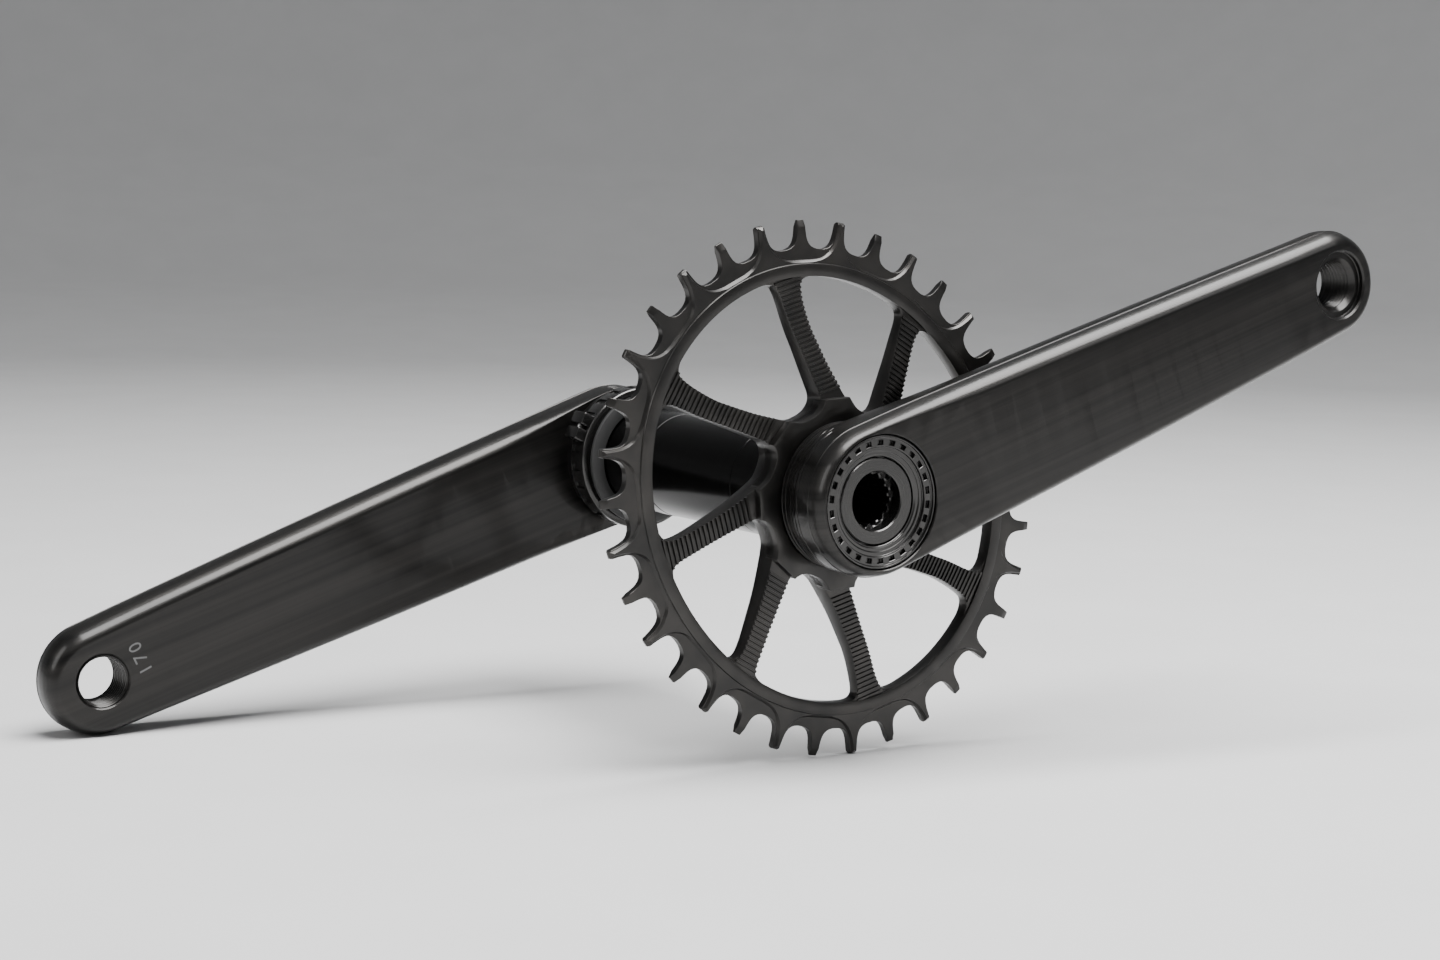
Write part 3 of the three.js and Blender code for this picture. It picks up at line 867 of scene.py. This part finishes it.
def crank_bolt(node, side):
    """Hollow flanged bolt with a splined socket deep in its bore."""
    bm = bmesh.new()
    profile = [(7.75, 65.0), (7.75, 68.9), (8.05, 69.2), (11.15, 69.2), (11.4, 68.95), (11.4, 66.6)]
    profile += [(13.6, 66.6), (13.8, 66.4), (13.8, 64.6), (13.6, 64.4), (10.5, 64.4)]
    out = 63.6
    while out > 52.6:
        profile += [(10.5, out), (10.1, out - 0.35), (10.1, out - 0.6), (10.5, out - 0.95)]
        out -= 1.5
    profile += [(10.5, 51.6), (10.1, 51.2), (7.3, 51.2), (7.0, 51.5), (7.0, 64.7), (7.3, 65.0)]
    spun(bm, profile, side, 128)
    for vert in bm.verts:
        radius = math.hypot(vert.co.x, vert.co.z)
        if radius < 7.5 and 51.3 < vert.co.y * side < 65.1:
            turn = math.atan2(vert.co.z, vert.co.x) * 16
            wave = max(-0.6, min(0.6, math.cos(turn))) / 0.6
            vert.co.x *= 1 + 0.055 * wave
            vert.co.z *= 1 + 0.055 * wave
    ease_edges(bm, 0.06, 50, 1)
    settle(bm, node, crease=32)


def build_spindle():
    """Hollow spindle with a shallow groove at the inner end of each bearing seat."""
    bm = bmesh.new()
    seat = 22.9
    drive, left = -44.1, 48.0
    profile = [(10.8, -60.3), (12.6, -60.3), (12.9, -60.0), (12.9, drive), (14.6, drive)]
    profile += [(15.0, drive + 0.4), (15.0, -seat - 0.15), (14.85, -seat), (14.85, -seat + 0.3)]
    profile += [(14.95, -seat + 0.45), (14.95, seat - 0.45), (14.85, seat - 0.3), (14.85, seat)]
    profile += [(15.0, seat + 0.15), (15.0, left - 0.4), (14.6, left), (12.9, left), (12.9, 60.0)]
    profile += [(12.6, 60.3), (10.8, 60.3), (10.8, 49.2), (11.6, 48.2), (11.6, -48.2)]
    profile += [(10.8, -49.2)]
    spun(bm, profile, 1, 128)
    settle(bm, "spindle", crease=20)


def lockring():
    """Chainring lockring with a ring of tool notches on its inner edge."""
    bm = bmesh.new()
    profile = [(17.3, 43.7), (18.6, 43.7), (20.0, 43.7), (20.3, 44.0), (20.3, 45.3), (17.3, 45.3)]
    spun(bm, profile, -1, 96)
    teeth = [
        f
        for f in bm.faces
        if abs(f.calc_center_median().y + 43.7) < 0.05
        and reach(f) < 18.5
        and in_sector(f, 0.0, 0.5, 16)
    ]
    dip = (0, -0.9, 0)
    push_faces(bm, teeth, lambda verts: bmesh.ops.translate(bm, verts=verts, vec=dip))
    ease_edges(bm, 0.1, 40, 1)
    settle(bm, "chainring_lockring")


CLAMP_ANGLE = 135


def preload_ring():
    """Threaded adjuster: a fluted ring, split at a lug for its clamp screw."""
    bm = bmesh.new()
    profile = [(15.4, 46.0), (20.6, 46.0), (21.0, 46.4), (21.0, 48.0), (21.0, 52.8), (20.6, 53.6)]
    profile += [(17.0, 53.6), (17.0, 47.4), (15.4, 47.4)]
    spun(bm, profile, 1, 144)
    flutes = [
        f
        for f in bm.faces
        if 48.2 < f.calc_center_median().y < 52.7
        and reach(f) > 20.8
        and in_sector(f, 0.0, 0.34, 24)
    ]
    draw_in = (0.965, 1, 0.965)
    push_faces(bm, flutes, lambda verts: bmesh.ops.scale(bm, verts=verts, vec=draw_in))
    ease_edges(bm, 0.15, 40, 2)
    turn = Matrix.Rotation(-math.radians(CLAMP_ANGLE), 4, "Y")
    for side in (-1, 1):
        lug = bmesh.new()
        place = Matrix.Translation((21.2, 50, side * 2.35)) @ Matrix.Diagonal((5.8, 6.4, 3.7, 1))
        bmesh.ops.create_cube(lug, size=1, matrix=turn @ place)
        ease_edges(lug, 0.5, 40, 3)
        absorb(bm, lug)
    settle(bm, "preload_ring")


def clamp_screw():
    """Small socket-head screw across the split."""
    bm = bmesh.new()
    lie = Matrix.Rotation(-math.radians(CLAMP_ANGLE), 4, "Y") @ Matrix.Translation((22.2, 50, 0))
    profile = [(0.75, 4.2), (1.2, 4.2), (1.4, 4.0), (1.4, 2.6), (0.7, 2.6), (0.7, -3.6)]
    profile += [(0.0, -3.7)]
    verts = [bm.verts.new((r, 0, s)) for r, s in profile]
    edges = [bm.edges.new(pair) for pair in zip(verts, verts[1:])]
    bmesh.ops.spin(
        bm, geom=verts + edges, cent=(0, 0, 0), axis=(0, 0, 1), angle=2 * math.pi, steps=24,
        use_merge=True,
    )
    bmesh.ops.remove_doubles(bm, verts=bm.verts, dist=MERGE_DISTANCE)
    rim = [e for e in bm.edges if e.is_boundary]
    verts, edges = pulled(bm, rim)
    bmesh.ops.translate(bm, verts=list(verts), vec=(0, 0, -1.1))
    bmesh.ops.edgeloop_fill(bm, edges=edges)
    bmesh.ops.transform(bm, matrix=lie, verts=bm.verts)
    settle(bm, "preload_clamp_screw")


def wave_washer():
    """Thin spring washer with three waves."""
    bm = bmesh.new()
    spun(bm, ring_profile(15.6, 18.6, 45.2, 45.5), 1, 120)
    for vert in bm.verts:
        vert.co.y += 0.15 * math.cos(3 * math.atan2(vert.co.z, vert.co.x))
    settle(bm, "wave_washer", crease=35)


def build_turned_pieces():
    build_spindle()
    lockring()
    for name, side in (("drive", -1), ("left", 1)):
        extractor_cap(name + "_extractor_cap", side)
        crank_bolt(name + "_crank_bolt", side)
        simple_ring(name + "_bolt_washer", side, ring_profile(10.9, 13.8, 62.9, 64.1), 0.15)
        seal = [(15.2, 66.2), (15.5, 65.9), (17.0, 65.9), (17.3, 66.2), (17.3, 66.8), (17.0, 67.1)]
        seal += [(15.5, 67.1), (15.2, 66.8)]
        simple_ring(name + "_cap_seal", side, seal, 0.1)
    simple_ring("lockring_washer", -1, ring_profile(17.6, 20.2, 45.6, 46.1), 0.1)
    simple_ring("drive_bearing_spacer", -1, ring_profile(15.3, 16.9, 43.3, 44.1), 0.12)
    simple_ring("preload_thrust_washer", 1, ring_profile(15.3, 19.4, 43.3, 44.7), 0.25)
    preload_ring()
    clamp_screw()
    wave_washer()


build_arms()
build_chainring()
build_turned_pieces()


# ---------------------------------------------------------------- studio


def studio():
    """A pale floor that sweeps up all round."""
    bm = bmesh.new()
    floor_z = cad_box[0][2]
    profile = [(0.0, 0.0), (1.6, 0.0), (2.1, 0.05), (2.5, 0.2), (2.8, 0.5), (2.95, 0.9), (3.0, 2.6)]
    verts = [bm.verts.new((r, 0, z + floor_z)) for r, z in profile]
    edges = [bm.edges.new(pair) for pair in zip(verts, verts[1:])]
    bmesh.ops.spin(
        bm, geom=verts + edges, cent=(0, 0, 0), axis=(0, 0, 1), angle=2 * math.pi, steps=96,
        use_merge=True,
    )
    bmesh.ops.remove_doubles(bm, verts=bm.verts, dist=1e-5)
    bmesh.ops.recalc_face_normals(bm, faces=bm.faces)
    bmesh.ops.reverse_faces(bm, faces=bm.faces)
    for face in bm.faces:
        face.smooth = True
    mesh = bpy.data.meshes.new("sweep")
    bm.to_mesh(mesh)
    bm.free()
    sweep = bpy.data.objects.new("sweep", mesh)
    bpy.context.scene.collection.objects.link(sweep)
    paper = Finish("pale_paper", Roughness=0.75)
    fleck = paper.noise(paper.level_mm()[0], 0.02, 3.0)
    paper.feed("Base Color", paper.blend(fleck, grey(0.43), grey(0.47)))
    mesh.materials.append(paper.material)


def soft_box(name, place, aim, size, power):
    data = bpy.data.lights.new(name, "AREA")
    data.shape = "RECTANGLE"
    data.size, data.size_y = size
    data.energy = power
    lamp = bpy.data.objects.new(name, data)
    lamp.location = place
    lamp.rotation_euler = (Vector(aim) - Vector(place)).to_track_quat("-Z", "Y").to_euler()
    bpy.context.scene.collection.objects.link(lamp)


def lights():
    soft_box("overhead", (0.18, -0.3, 1.2), (0.18, -0.3, 0), (1.2, 1.0), 80)
    soft_box("left_side", (-1.4, 0.1, 0.75), (0, 0, 0), (0.5, 1.0), 8)
    soft_box("front_right", (0.9, -1.2, 0.9), (0, 0, 0), (0.6, 0.6), 3)
    world = bpy.data.worlds.new("room")
    world.use_nodes = True
    world.node_tree.nodes["Background"].inputs[0].default_value = (0.94, 0.96, 1.0, 1)
    world.node_tree.nodes["Background"].inputs[1].default_value = 0.3
    bpy.context.scene.world = world


def camera():
    data = bpy.data.cameras.new("camera")
    data.lens = 62.62
    data.sensor_width = 36
    data.clip_start = 0.01
    cam = bpy.data.objects.new("camera", data)
    cam.location = (-0.3904, -0.58452, 0.0759)
    cam.rotation_euler = Euler([math.radians(a) for a in (83.686, -1.4365, -33.3645)], "XYZ")
    bpy.context.scene.collection.objects.link(cam)
    bpy.context.scene.camera = cam


studio()
lights()
camera()
